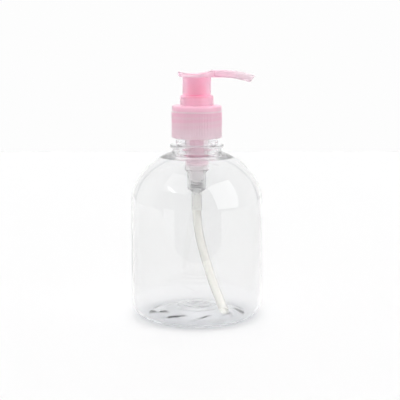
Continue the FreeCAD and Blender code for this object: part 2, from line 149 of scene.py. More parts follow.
SPOUT_CUT_DEG = 37
PAD_HALF_WIDTH = 9.6
PAD_END_X = 12.0
PAD_EDGE_R = 0.7
PAD_SADDLE = ((HEAD_LOW.x, 159.1), (-2.0, 157.6), (9.5, 159.7))
# the base from its centre outwards: radius, height and rounding of each corner
BASE_PROFILE = (
    (0, 8.4), (3.6, 8.3, 2.0), (4.7, 7.9, 1.6), (6.4, 7.8, 1.6), (8.0, 7.0, 2.2), (10.2, 6.7, 2.6),
    (12.6, 5.4, 2.4), (15.0, 5.25))
BASE_SLOPE = (22.0, 3.3)
# how far, in metres, a point may be from a round wall and still be moved with it
WALL_TOLERANCE = 0.05 * MM

# the studio: name, turn, lift, width and height in degrees, radiance and roll of each lamp panel
SOFTBOXES = (
    ("right_panel", 55, 25, 44, 54, 2.0, 0),
    ("right_strip", 52, -14, 20, 14, 1.0, 0),
    ("left_panel", -53, 37, 19, 5, 2.8, -24),
    ("left_strip", -48, -12, 20, 18, 1.0, 0),
    ("left_sky", -45, 52, 44, 38, 1.0, 0),
)
SOFTBOX_DISTANCE = 0.85
SUN_STRENGTH = 3.35
SUN_SPREAD_DEG = 150
CAMERA_PLACE = (2.07 * MM, -0.701, 0.1914)
CAMERA_DOWN_DEG = 9.35
CAMERA_LENS = 98.6
LIGHT_BOUNCES = 32
CAMERA_SIDE_GREY = (0.5, 0.51, 0.53, 1)
BAND_GREY = (0.42, 0.44, 0.47, 1)
BACKDROP_WHITE = (0.983, 0.983, 0.983, 1)
BLURRED_WHITE = (1.14, 1.14, 1.14, 1)
WHITE = (1, 1, 1, 1)
BLACK = (0, 0, 0, 1)


# ---- sizes and colours that a user would change ---------------------------------------

class PumpBottleSettings(bpy.types.PropertyGroup):
    """Finishes and counts of the bottle and its pump."""

    rib_count: IntProperty(
        name="Closure Ribs", description="Upright grip ribs around the closure", default=96, min=12)
    rib_depth: FloatProperty(
        name="Rib Depth", description="Depth of the grooves between the ribs", default=0.3 * MM,
        unit="LENGTH", precision=5)
    flute_count: IntProperty(
        name="Base Flutes", description="Shallow flutes around the pushed-up base", default=9, min=0)
    flute_depth: FloatProperty(
        name="Flute Depth", description="Depth of the flutes in the base", default=0.5 * MM,
        unit="LENGTH", precision=5)
    spring_turns: FloatProperty(
        name="Spring Turns", description="Turns of the return spring", default=3.1, min=2)
    clear_color: FloatVectorProperty(
        name="Clear Plastic", description="Tint of the clear bottle", subtype="COLOR",
        default=(0.945, 0.947, 0.948))
    # painted light: a lighter tint at the clear bottle's foot and neck, which lifts the shade that falls on
    # the base and neck
    painted_light_clear_color: FloatVectorProperty(
        name="Clear Foot and Neck", description="Tint of the clear bottle at its foot and neck",
        subtype="COLOR", default=(0.955, 0.958, 0.965))
    core_color: FloatVectorProperty(
        name="Deep Pink", description="Pink plastic where it is thick, about the stem", subtype="COLOR",
        default=(0.998, 0.46, 0.69))
    pink_color: FloatVectorProperty(
        name="Pink Plastic", description="Dye of the pump's translucent pink parts", subtype="COLOR",
        default=(0.998, 0.80, 0.885))
    # The same pale pink also paints a highlight line on the closure's top step (painted highlight).
    spout_and_highlight_color: FloatVectorProperty(
        name="Pale Pink", description="Pink plastic where it is thin, at the spout's end", subtype="COLOR",
        default=(0.99, 0.92, 0.95))
    # The closure's colour is partly painted light and shade: its deep top pink stands in for light that comes
    # in through the roof, and it turns paler and greyer towards the foot.
    closure_color: FloatVectorProperty(
        name="Closure Plastic", description="Dye of the translucent screw closure, at its top",
        subtype="COLOR", default=(0.998, 0.75, 0.85))
    # painted shade: a paler, greyer pink towards the closure's foot and on the head plastic low inside the
    # closure and bottle
    painted_shade_pink_color: FloatVectorProperty(
        name="Closure Skirt", description="The same dye where the closure is thin, at its foot",
        subtype="COLOR", default=(0.96, 0.87, 0.91))
    thread_color: FloatVectorProperty(
        name="Closure Thread", description="The same dye between the turns of its inside thread",
        subtype="COLOR", default=(0.985, 0.82, 0.885))
    milky_color: FloatVectorProperty(
        name="Natural Plastic", description="Undyed milky plastic of the housing", subtype="COLOR",
        default=(0.992, 0.992, 0.99))
    tube_color: FloatVectorProperty(
        name="Tube Plastic", description="Undyed soft plastic of the dip tube", subtype="COLOR",
        default=(0.975, 0.97, 0.945))
    steel_color: FloatVectorProperty(
        name="Spring Steel", description="Colour of the spring wire", subtype="COLOR",
        default=(0.22, 0.22, 0.23))


def settings():
    return bpy.context.scene.pump_bottle


# ---- outlines -------------------------------------------------------------------------

def arc_points(a, through, b, steps):
    """Points from a to b along the circle through the middle point, both ends included."""
    ax, ay = a
    bx, by = through
    cx, cy = b
    d = 2 * (ax * (by - cy) + bx * (cy - ay) + cx * (ay - by))
    ux = ((ax**2 + ay**2) * (by - cy) + (bx**2 + by**2) * (cy - ay) + (cx**2 + cy**2) * (ay - by)) / d
    uy = ((ax**2 + ay**2) * (cx - bx) + (bx**2 + by**2) * (ax - cx) + (cx**2 + cy**2) * (bx - ax)) / d
    radius = math.hypot(ax - ux, ay - uy)
    start = math.atan2(ay - uy, ax - ux)
    middle = (math.atan2(by - uy, bx - ux) - start) % math.tau
    sweep = (math.atan2(cy - uy, cx - ux) - start) % math.tau
    if middle > sweep:
        sweep -= math.tau
    return [
        (ux + radius * math.cos(start + sweep * i / steps), uy + radius * math.sin(start + sweep * i / steps))
        for i in range(steps + 1)
    ]


def rounded(corners, steps=4):
    """An open outline of corners (r, z) or (r, z, radius), with each given radius rounded off."""
    points = []
    for i, corner in enumerate(corners):
        here = Vector(corner[:2])
        if len(corner) < 3 or i in (0, len(corners) - 1):
            points.append(tuple(here))
            continue
        back = (Vector(corners[i - 1][:2]) - here).normalized()
        ahead = (Vector(corners[i + 1][:2]) - here).normalized()
        half = back.angle(ahead) / 2
        reach = corner[2] / math.tan(half)
        middle = here + (back + ahead).normalized() * (corner[2] / math.sin(half) - corner[2])
        points += arc_points(here + back * reach, middle, here + ahead * reach, steps)
    return points


def dome_points(radius, rise, r_end, steps):
    """The elliptic shoulder from the straight wall in to r_end."""
    last = math.acos(r_end / radius)
    return [
        (radius * math.cos(last * i / steps), DOME_Z + rise * math.sin(last * i / steps))
        for i in range(steps + 1)
    ]


def rows(r, low, high, step):
    """Evenly spaced points up a straight wall, so that a thread can be drawn in it."""
    count = max(1, round(abs(high - low) / step))
    return [(r, low + (high - low) * i / count) for i in range(count + 1)]


# ---- meshes ---------------------------------------------------------------------------

def added(name, data):
    """A new object of the scene around this data."""
    obj = bpy.data.objects.new(name, data)
    bpy.context.scene.collection.objects.link(obj)
    return obj


def object_from(name, vertices, faces):
    mesh = bpy.data.meshes.new(name)
    mesh.from_pydata([tuple(v) for v in vertices], [], faces)
    return added(name, mesh)


def recalculate_outside(obj):
    """Merges doubles, then turns every face outwards."""
    work = bmesh.new()
    work.from_mesh(obj.data)
    bmesh.ops.remove_doubles(work, verts=work.verts, dist=1e-7)
    bmesh.ops.recalc_face_normals(work, faces=work.faces)
    work.to_mesh(obj.data)
    work.free()


def smooth(obj, angle_deg=34):
    """Smooth shading, with edges kept sharp past the angle."""
    obj.data.polygons.foreach_set("use_smooth", [True] * len(obj.data.polygons))
    obj.data.set_sharp_from_angle(angle=math.radians(angle_deg))
    obj.data.update()


def skinned(name, rings, looped=False):
    """A closed skin over rings of points in metres. A ring of one point is a pole. Looped joins the
    last ring to the first, and otherwise full rings at the ends are capped."""
    vertices = [point for ring in rings for point in ring]
    numbered = []
    for ring in rings:
        first = numbered[-1].stop if numbered else 0
        numbered.append(range(first, first + len(ring)))
    pairs = list(zip(numbered, numbered[1:]))
    if looped:
        pairs.append((numbered[-1], numbered[0]))
    faces = []
    for a, b in pairs:
        count = max(len(a), len(b))
        for i in range(count):
            j = (i + 1) % count
            corners = (a[i % len(a)], a[j % len(a)], b[j % len(b)], b[i % len(b)])
            faces.append(tuple(dict.fromkeys(corners)))
    if not looped:
        faces += [tuple(end) for end in (numbered[0][::-1], numbered[-1]) if len(end) > 1]
    obj = object_from(name, vertices, faces)
    recalculate_outside(obj)
    return obj


def lathe(name, outline, segments=128):
    """Turns an outline in millimetres about Z. One that starts and ends on the axis gets a pole at
    each end, and any other is closed on itself."""
    turns = [math.tau * i / segments for i in range(segments)]
    rings = [
        [Vector((r * math.cos(turn), r * math.sin(turn), z)) * MM for turn in (turns if r else (0,))]
        for r, z in outline
    ]
    return skinned(name, rings, looped=outline[0][0] > 0 or outline[-1][0] > 0)


def rod_outline(radius, low, high):
    """The outline of a plain round rod."""
    return [(0, low), (radius, low), (radius, high), (0, high)]


def evaluated_copy(obj, name):
    """The object with its modifiers worked in, as a plain mesh of its own."""
    graph = bpy.context.evaluated_depsgraph_get()
    mesh = bpy.data.meshes.new_from_object(obj.evaluated_get(graph), depsgraph=graph)
    bpy.data.objects.remove(obj)
    mesh.name = name
    return added(name, mesh)


def combined(name, base, joined=(), removed=()):
    """base with other solids added, then others cut away."""
    for operation, solids in (("UNION", joined), ("DIFFERENCE", removed)):
        for solid in solids:
            modifier = base.modifiers.new(operation, "BOOLEAN")
            modifier.operation = operation
            modifier.solver = "EXACT"
            modifier.object = solid
    result = evaluated_copy(base, name)
    for tool in (*joined, *removed):
        bpy.data.objects.remove(tool)
    recalculate_outside(result)
    return result


def helix_ridge(name, root_r, crest_r, bottom, pitch, turns, start_deg, root_w, crest_w):
    """A trapezoid ridge along a right-hand helix, in millimetres."""
    corners = [(root_r, -root_w / 2), (crest_r, -crest_w / 2), (crest_r, crest_w / 2), (root_r, root_w / 2)]
    sections = []
    steps = max(8, round(turns * 72))
    for i in range(steps + 1):
        turn = math.radians(start_deg) + math.tau * turns * i / steps
        z = bottom + pitch * turns * i / steps
        sections.append([
            Vector((r * math.cos(turn), r * math.sin(turn), z + dz)) * MM for r, dz in corners
        ])
    return skinned(name, sections)


# ---- node trees -----------------------------------------------------------------------

class Wiring:
    """Adds nodes to a tree. A value is a number, a vector or another node's output."""

    def __init__(self, tree):
        self.tree = tree

    def node(self, kind, values=None, **options):
        made = self.tree.nodes.new(kind)
        for option, value in options.items():
            setattr(made, option, value)
        for key, value in (values or {}).items():
            self.put(made.inputs[key], value)
        return made

    def put(self, socket, value):
        if isinstance(value, bpy.types.NodeSocket):
            self.tree.links.new(value, socket)
        elif value is not None:
            socket.default_value = value

    def math(self, operation, a, b=None, c=None):
        return self.node("ShaderNodeMath", {0: a, 1: b, 2: c}, operation=operation).outputs[0]

    def product(self, *factors):
        total = factors[0]
        for factor in factors[1:]:
            total = self.math("MULTIPLY", total, factor)
        return total

    def scaled(self, vector, amount):
        return self.node("ShaderNodeVectorMath", {0: vector, 3: amount}, operation="SCALE").outputs[0]

    def clamped(self, value):
        return self.node("ShaderNodeClamp", {"Value": value, "Min": 0.0, "Max": 1.0}).outputs[0]

    def window(self, value, low, high, soft):
        """1 between low and high, falling to 0 over soft outside them."""
        rising = self.math("DIVIDE", self.math("SUBTRACT", value, low), soft)
        falling = self.math("DIVIDE", self.math("SUBTRACT", high, value), soft)
        return self.clamped(self.math("ADD", self.math("MINIMUM", rising, falling), 1.0))

    def ramp(self, value, start, end, top=1.0, curve="SMOOTHSTEP"):
        """0 up to start, rising to top at end."""
        limits = {"Value": value, "From Min": start, "From Max": end, "To Max": top}
        return self.node("ShaderNodeMapRange", limits, interpolation_type=curve).outputs[0]

    def mix(self, share, a, b):
        """Colour a as it turns into colour b."""
        return self.node("ShaderNodeMix", {0: share, 6: a, 7: b}, data_type="RGBA").outputs[2]

    def noise(self, place, scale, detail):
        return self.node("ShaderNodeTexNoise", {"Vector": place, "Scale": scale, "Detail": detail}).outputs[0]

    def about_axis(self, place):
        """A place's X, Y and Z, its part flat from the axis, its radius and its angle in turns."""
        xyz = self.node("ShaderNodeSeparateXYZ", {0: place}).outputs
        flat = self.node("ShaderNodeCombineXYZ", {0: xyz[0], 1: xyz[1]}).outputs[0]
        radius = self.node("ShaderNodeVectorMath", {0: flat}, operation="LENGTH").outputs["Value"]
        turns = self.math("DIVIDE", self.math("ARCTAN2", xyz[1], xyz[0]), math.tau)
        return xyz, flat, radius, turns


def geometry_tree(name, *labels):
    """A geometry tree with a number input for each label, a whole one for Count, and a material
    input. Returns tree, wiring, sockets."""
    tree = bpy.data.node_groups.new(name, "GeometryNodeTree")
    tree.interface.new_socket("Geometry", in_out="INPUT", socket_type="NodeSocketGeometry")
    for label in labels:
        kind = "NodeSocketInt" if label == "Count" else "NodeSocketFloat"
        tree.interface.new_socket(label, in_out="INPUT", socket_type=kind)
    tree.interface.new_socket("Material", in_out="INPUT", socket_type="NodeSocketMaterial")
    tree.interface.new_socket("Geometry", in_out="OUTPUT", socket_type="NodeSocketGeometry")
    wiring = Wiring(tree)
    return tree, wiring, wiring.node("NodeGroupInput").outputs


def end_geometry(wiring, geometry, material):
    """Ends a tree in Realize Instances and Set Material."""
    real = wiring.node("GeometryNodeRealizeInstances", {"Geometry": geometry})
    painted = wiring.node("GeometryNodeSetMaterial", {"Geometry": real.outputs[0], "Material": material})
    wiring.node("NodeGroupOutput", {"Geometry": painted.outputs[0]})


def end_moved(wiring, given, offset):
    """Ends a tree that moves each point of the given geometry."""
    moved = wiring.node("GeometryNodeSetPosition", {"Geometry": given["Geometry"], "Offset": offset})
    end_geometry(wiring, moved.outputs[0], given["Material"])


def run_geometry(obj, tree, values):
    """Gives the object a tree with these input values and returns the plain result."""
    modifier = obj.modifiers.new(tree.name, "NODES")
    modifier.node_group = tree
    for item in tree.interface.items_tree:
        if item.item_type == "SOCKET" and item.in_out == "INPUT" and item.name in values:
            modifier[item.identifier] = values[item.name]
    return evaluated_copy(obj, obj.name)


def point_coordinates(wiring):
    """Radius, angle as turns from 0 to 1, height and outward direction of each point."""
    place = wiring.node("GeometryNodeInputPosition").outputs[0]
    xyz, flat, radius, turns = wiring.about_axis(place)
    outward = wiring.node("ShaderNodeVectorMath", {0: flat}, operation="NORMALIZE").outputs[0]
    return radius, wiring.math("FRACT", wiring.math("ADD", turns, 1.0)), xyz[2], outward


def waves(wiring, turns, count, swing):
    """A wave between 0 and 1, count times around, at 0 on +X with a negative swing."""
    angle = wiring.product(turns, count, math.tau)
    return wiring.math("MULTIPLY_ADD", wiring.math("COSINE", angle), swing, 0.5)


def thread_tree():
    """Raises a right-hand screw thread out of a round wall, or into it with a negative height."""
    tree, wiring, given = geometry_tree(
        "Screw Thread", "Wall Radius", "Start Height", "Start Angle", "Pitch", "Turns", "Ridge Height",
        "Root Width", "Crest Width")
    radius, turns, height, outward = point_coordinates(wiring)
    on_wall = wiring.window(radius, given["Wall Radius"], given["Wall Radius"], WALL_TOLERANCE)
    along = wiring.math("FRACT", wiring.math("ADD", wiring.math(
        "SUBTRACT", turns, wiring.math("DIVIDE", given["Start Angle"], math.tau)), 2.0))
    level = wiring.math("SUBTRACT", wiring.math(
        "DIVIDE", wiring.math("SUBTRACT", height, given["Start Height"]), given["Pitch"]), along)
    turn_number = wiring.math("ROUND", level)
    away = wiring.product(
        wiring.math("ABSOLUTE", wiring.math("SUBTRACT", level, turn_number)), given["Pitch"])
    half_root = wiring.product(given["Root Width"], 0.5)
    half_crest = wiring.product(given["Crest Width"], 0.5)
    flank = wiring.math("DIVIDE", wiring.math("SUBTRACT", half_root, away),
                        wiring.math("SUBTRACT", half_root, half_crest))
    run_out = 0.05
    progress = wiring.math("ADD", along, turn_number)
    ends = wiring.window(progress, run_out, wiring.math("SUBTRACT", given["Turns"], run_out), run_out)
    amount = wiring.product(wiring.clamped(flank), ends, wiring.product(given["Ridge Height"], on_wall))
    end_moved(wiring, given, wiring.scaled(outward, amount))
    return tree


def rib_tree():
    """Cuts evenly spaced upright grooves into a round wall, over a band of its height."""
    tree, wiring, given = geometry_tree(
        "Grip Ribs", "Wall Radius", "Band Bottom", "Band Top", "Count", "Depth")
    radius, turns, height, outward = point_coordinates(wiring)
    on_wall = wiring.window(radius, given["Wall Radius"], given["Wall Radius"], WALL_TOLERANCE)
    band = wiring.window(height, given["Band Bottom"], given["Band Top"], 0.3 * MM)
    groove = waves(wiring, turns, given["Count"], -0.5)
    amount = wiring.product(groove, wiring.product(given["Depth"], -1.0), wiring.product(on_wall, band))
    end_moved(wiring, given, wiring.scaled(outward, amount))
    return tree


def flute_tree():
    """Presses evenly spaced flutes up into the base, between two radii."""
    tree, wiring, given = geometry_tree(
        "Base Flutes", "Inner Radius", "Outer Radius", "Top Height", "Count", "Depth", "Twist")
    radius, turns, height, _ = point_coordinates(wiring)
    across = wiring.window(radius, given["Inner Radius"], given["Outer Radius"], 4.5 * MM)
    facing = wiring.node("GeometryNodeInputNormal").outputs[0]
    down = wiring.math("LESS_THAN", wiring.node("ShaderNodeSeparateXYZ", {0: facing}).outputs[2], -0.2)
    low_down = wiring.product(down, wiring.window(height, -1.0, given["Top Height"], 0.1 * MM))
    out = wiring.math("SUBTRACT", radius, given["Inner Radius"])
    turned = wiring.math("MULTIPLY_ADD", out, given["Twist"], turns)
    pressed = waves(wiring, turned, given["Count"], 0.5)
    amount = wiring.product(pressed, given["Depth"], wiring.product(across, low_down))
    end_moved(wiring, given, wiring.node("ShaderNodeCombineXYZ", {2: amount}).outputs[0])
    return tree


def spring_tree():
    """Draws wire along a helix, closed flat at both ends."""
    tree, wiring, given = geometry_tree(
        "Coil Spring", "Mean Radius", "Wire Radius", "Bottom", "Height", "Turns")
    helix = wiring.node("GeometryNodeCurveSpiral", {
        "Resolution": 40, "Rotations": given["Turns"], "Start Radius": given["Mean Radius"],
        "End Radius": given["Mean Radius"], "Height": given["Height"]})
    place = wiring.node("ShaderNodeCombineXYZ", {2: given["Bottom"]}).outputs[0]
    lifted = wiring.node("GeometryNodeTransform", {"Geometry": helix.outputs[0], "Translation": place})
    section = wiring.node("GeometryNodeCurvePrimitiveCircle", {
        "Resolution": 14, "Radius": given["Wire Radius"]})
    wire = wiring.node("GeometryNodeCurveToMesh", {
        "Curve": lifted.outputs[0], "Profile Curve": section.outputs[0], "Fill Caps": True})
    end_geometry(wiring, wire.outputs[0], given["Material"])
    return tree


# ---- materials ------------------------------------------------------------------------

def moulding_group():
    """Fine unevenness of moulded plastic: a clouded colour, a clouded roughness and a height."""
    group = bpy.data.node_groups.new("Moulded Surface", "ShaderNodeTree")
    for way, labels in (("INPUT", ("Color", "Cloud Amount", "Cloud Scale", "Roughness", "Roughness Spread",
                                   "Grain Scale")), ("OUTPUT", ("Color", "Roughness", "Height"))):
        for label in labels:
            kind = "NodeSocketColor" if label == "Color" else "NodeSocketFloat"
            group.interface.new_socket(label, in_out=way, socket_type=kind)
    wiring = Wiring(group)
    given = wiring.node("NodeGroupInput").outputs
    place = wiring.node("ShaderNodeTexCoord").outputs["Object"]
    cloud = wiring.noise(place, given["Cloud Scale"], 3.0)
    grain = wiring.noise(place, given["Grain Scale"], 2.0)
    darker = wiring.product(wiring.math("SUBTRACT", 1.0, cloud), given["Cloud Amount"])
    tinted = wiring.scaled(given["Color"], wiring.math("SUBTRACT", 1.0, darker))
    rough = wiring.math("MULTIPLY_ADD", wiring.math("SUBTRACT", grain, 0.5),
                        given["Roughness Spread"], given["Roughness"])
    mixed = wiring.math("ADD", wiring.product(cloud, 0.7), wiring.product(grain, 0.3))
    wiring.node("NodeGroupOutput", {"Color": tinted, "Roughness": rough, "Height": mixed})
    return group


def blank_material(name):
    """A material with an empty node tree, and the tree's wiring."""
    material = bpy.data.materials.new(name)
    material.use_nodes = True
    material.node_tree.nodes.clear()
    return material, Wiring(material.node_tree)


def shaded_color(wiring, color, shades):
    """The colour as it turns into each of the shades in order. A shade is (measure, start, end,
    color): the colour turns into that one from start to end. The measure is X, Z or the radius R in
    millimetres, or T, the way from one turn of the closure's thread at 0 to the next gap's middle
    at 0.5."""
    mixed = (*color, 1.0)
    if not shades:
        return mixed
    xyz, _, radius, turns = wiring.about_axis(wiring.node("ShaderNodeTexCoord").outputs["Object"])
    level = wiring.math("SUBTRACT", wiring.math(
        "DIVIDE", wiring.math("SUBTRACT", xyz[2], CLOSURE_THREAD_Z * MM), PITCH * MM), turns)
    measures = {"X": xyz[0], "Z": xyz[2], "R": radius, "T": wiring.math("PINGPONG", level, 0.5)}
    for measure, start, end, other in shades:
        value = wiring.math("DIVIDE", measures[measure], 1.0 if measure == "T" else MM)
        mixed = wiring.mix(wiring.ramp(value, start, end), mixed, (*other, 1.0))
    return mixed


def plastic(name, color, roughness, transmission, ior=1.49, cloud=0.04, spread=0.06, cloud_scale=90.0,
            grain_scale=2600.0, bump=0.02, bump_mm=0.05, plain_roughness=False, shades=(), shadow=None,
            shadow_shades=()):
    """A moulded plastic. shadow is the tint that lamps keep on their way through it, and both
    shades and shadow_shades are as in shaded_color."""
    material, wiring = blank_material(name)
    surface = wiring.node("ShaderNodeGroup")
    surface.node_tree = bpy.data.node_groups.get("Moulded Surface") or moulding_group()
    for label, value in (("Cloud Amount", cloud), ("Cloud Scale", cloud_scale), ("Roughness", roughness),
                         ("Roughness Spread", spread), ("Grain Scale", grain_scale)):
        surface.inputs[label].default_value = value
    wiring.put(surface.inputs["Color"], shaded_color(wiring, color, shades))
    relief = wiring.node("ShaderNodeBump", {
        "Strength": bump, "Distance": bump_mm * MM, "Height": surface.outputs["Height"]})
    body = wiring.node("ShaderNodeBsdfPrincipled", {
        "Base Color": surface.outputs["Color"], "Normal": relief.outputs[0],
        "Transmission Weight": transmission, "IOR": ior,
        "Roughness": roughness if plain_roughness else surface.outputs["Roughness"]})
    shown = body.outputs[0]
    if shadow is not None:
        lamp_side = wiring.node("ShaderNodeBsdfTransparent", {
            "Color": shaded_color(wiring, shadow, shadow_shades)})
        path = wiring.node("ShaderNodeLightPath")
        shown = wiring.node("ShaderNodeMixShader", {
            0: path.outputs["Is Shadow Ray"], 1: shown, 2: lamp_side.outputs[0]}).outputs[0]
    wiring.node("ShaderNodeOutputMaterial", {"Surface": shown})
    return material


def steel_wire(name, color):
    """Drawn steel wire with a fine lengthwise roughness."""
    material, wiring = blank_material(name)
    place = wiring.node("ShaderNodeTexCoord").outputs["Object"]
    streaks = wiring.node("ShaderNodeMapping", {"Vector": place, "Scale": (400.0, 400.0, 3000.0)}).outputs[0]
    noise = wiring.noise(streaks, 1.0, 3.0)
    rough = wiring.math("MULTIPLY_ADD", noise, 0.2, 0.22)
    tinted = wiring.scaled(color, wiring.math("MULTIPLY_ADD", noise, 0.25, 0.85))
    body = wiring.node("ShaderNodeBsdfPrincipled", {
        "Base Color": tinted, "Roughness": rough, "Metallic": 1.0})
    wiring.node("ShaderNodeOutputMaterial", {"Surface": body.outputs[0]})
    return material


def material_named(name):
    """The material of that name, made on first use."""
    found = bpy.data.materials.get(name)
    if found:
        return found
    look = settings()
    clear, thin = tuple(look.clear_color), tuple(look.painted_light_clear_color)
    top, foot = tuple(look.closure_color), tuple(look.painted_shade_pink_color)
    core, pink, pale = tuple(look.core_color), tuple(look.pink_color), tuple(look.spout_and_highlight_color)
    milky = tuple(look.milky_color)
    recipes = {
        "Clear PET": lambda: plastic(
            name, clear, 0.0, 1.0, ior=1.55, cloud=0.02, cloud_scale=25.0, grain_scale=60.0, bump=0.25,
            bump_mm=0.25, shadow=(0.975, 0.976, 0.98), plain_roughness=True, shades=(
                # painted light: the tint turns lighter below 15 mm and above 98 mm, lifting the shade at the
                # foot and neck
                ("Z", 15.0, 9.0, thin), ("Z", 98.0, 104.0, thin)),
            shadow_shades=(("Z", 9.0, 4.0, (0.7, 0.71, 0.72)),)),
        "Pink Head Plastic": lambda: plastic(
            name, core, 0.2, 0.68, cloud=0.02, shadow=(0.98, 0.85, 0.90), shades=(
                ("R", 5.9, 7.6, pink), ("Z", 154.4, 156.2, pink), ("X", 9.0, 34.0, pale),
                # painted shade: below 140 mm, low inside the closure and bottle, the head plastic turns to
                # the greyer foot pink
                ("Z", 140.0, 134.0, foot))),
        "Pink Closure Plastic": lambda: plastic(
            name, top, 0.3, 0.5, cloud=0.02, shadow=(0.98, 0.85, 0.90), shades=(
                # painted light and shade: deep pink up high, where light comes through the roof, turning
                # greyer from 129 mm down to the foot at 120 mm
                ("T", 0.1, 0.4, look.thread_color), ("Z", 129.0, 120.0, foot), ("Z", 130.0, 131.5, top),
                # painted highlight: a pale line at the step between the ribbed band and the smooth top, about
                # 133 mm up, then back to the top pink
                ("Z", 132.9, 133.5, pale), ("Z", 133.9, 134.6, top))),
        "Natural Housing Plastic": lambda: plastic(
            name, milky, 0.06, 0.8, cloud=0.015, spread=0.02, shadow=(0.95, 0.95, 0.95)),
        "Natural Tube Plastic": lambda: plastic(
            name, tuple(look.tube_color), 0.2, 0.6, cloud=0.015, shadow=(0.95, 0.95, 0.93)),
        "White Rod Plastic": lambda: plastic(name, milky, 0.4, 0.3, shadow=(0.6, 0.6, 0.6)),
        "Gasket Foam": lambda: plastic(
            name, (0.85, 0.85, 0.84), 0.8, 0.0, bump=0.6, bump_mm=0.1, grain_scale=5000.0),
        "Ball Glass": lambda: plastic(
            name, (0.9, 0.95, 0.93), 0.0, 1.0, ior=1.52, bump=0.0, shadow=(0.8, 0.85, 0.83),
            plain_roughness=True),
        "Spring Steel": lambda: steel_wire(name, tuple(look.steel_color)),
        "Studio Floor": lambda: plastic(
            name, (0.9, 0.9, 0.9), 0.7, 0.0, cloud=0.0, bump=0.0),
    }
    return recipes[name]()


def place(obj, node, slot, body, material=None, angle_deg=34):
    """Finishes a piece that stands for a CAD node and lets it ride on its body."""
    if material:
        obj.data.materials.clear()
        obj.data.materials.append(material_named(material))
    smooth(obj, angle_deg)
    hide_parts(node)
    if body:
        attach(obj, body)
    return obj


# ---- pieces ---------------------------------------------------------------------------

def bottle_half(wall, radius, dome_rise, heel, top_r):
    """The body's outline at a depth of wall inside the skin, from the base's centre to the dome."""
    heel_centre = BODY_R - HEEL_R
    slant = heel * math.sqrt(0.5)
    edge_r, edge_z = BASE_PROFILE[-1]
    slope_r, slope_z = BASE_SLOPE
    points = rounded([(r, z + wall, *rounding) for r, z, *rounding in BASE_PROFILE])
    points += arc_points(
        (edge_r, edge_z + wall), (slope_r, slope_z + wall), (heel_centre - STAND_RING_W, wall), 24)[1:]
    points += arc_points((heel_centre, wall), (heel_centre + slant, HEEL_R - slant), (radius, HEEL_R), 14)
    points += rows(radius, HEEL_R, DOME_Z, 8)[1:]
    points += dome_points(radius, dome_rise, top_r, 30)[1:]
    return points


def bottle_outline():
    outer = bottle_half(0, BODY_R, DOME_RISE, HEEL_R, DOME_TOP_R)
    ring_top = RING_Z + RING_THICK
    outer += arc_points(outer[-1], (WAIST_R + 0.5, outer[-1][1] + 0.5), (WAIST_R, WAIST_Z), 5)[1:]
    outer += rounded([
        (WAIST_R, WAIST_Z), (WAIST_R, WAIST_Z + 0.9, 0.4), (RING_R, RING_Z, 0.3),
        (RING_R + 0.1, ring_top, 0.5), (LAND_R, ring_top + 0.3, 0.4), (LAND_R, LAND_TOP, 0.3),
        (NECK_ROOT_R, LAND_TOP + 0.9)], 3)[1:]
    outer += rows(NECK_ROOT_R, LAND_TOP + 0.9, NECK_TOP - 0.4, 0.32)[1:]
    outer += rounded([(NECK_ROOT_R, NECK_TOP - 0.4), (NECK_ROOT_R - 0.1, NECK_TOP, 0.35),
                      (NECK_BORE_R, NECK_TOP, 0.35), (NECK_BORE_R, NECK_TOP - 1.0)])[1:]
    inner = bottle_half(WALL, BODY_R - WALL, DOME_RISE - WALL, HEEL_R - WALL, 22.5)
    inner += rounded([
        inner[-1], (18.0, 105.2, 5.0), (THROAT_R, THROAT_Z, 0.35), (NECK_BORE_R, THROAT_Z + 3.5, 2.0),
        (NECK_BORE_R, RING_Z + 1.2)], 6)[1:]
    return outer + inner[::-1]


def with_thread(obj, wall_r, start_z, start_angle, ridge, material):
    """The object with a screw thread on its round wall; a negative ridge goes inwards."""
    tree = bpy.data.node_groups.get("Screw Thread") or thread_tree()
    return run_geometry(obj, tree, {
        "Wall Radius": wall_r * MM, "Start Height": start_z * MM, "Start Angle": start_angle,
        "Pitch": PITCH * MM, "Turns": THREAD_TURNS, "Ridge Height": ridge * MM,
        "Root Width": THREAD_ROOT_W * MM, "Crest Width": THREAD_CREST_W * MM, "Material": material})


class PUMPBOTTLE_OT_bottle(bpy.types.Operator):
    """Add the clear bottle with its neck thread and fluted base"""

    bl_idname = "pumpbottle.bottle"
    bl_label = "Bottle"

    def execute(self, context):
        look = settings()
        clear = material_named("Clear PET")
        obj = lathe("clear_bottle", bottle_outline(), 192)
        obj = with_thread(obj, NECK_ROOT_R, NECK_THREAD_Z, math.pi, 1.0, clear)
        obj = run_geometry(obj, flute_tree(), {
            "Inner Radius": 25.0 * MM, "Outer Radius": 27.5 * MM, "Top Height": 8.0 * MM,
            "Count": look.flute_count, "Depth": look.flute_depth, "Twist": 7.0, "Material": clear})
        place(obj, "bottle", "clear_pet", "bottle", angle_deg=50)
        return {"FINISHED"}


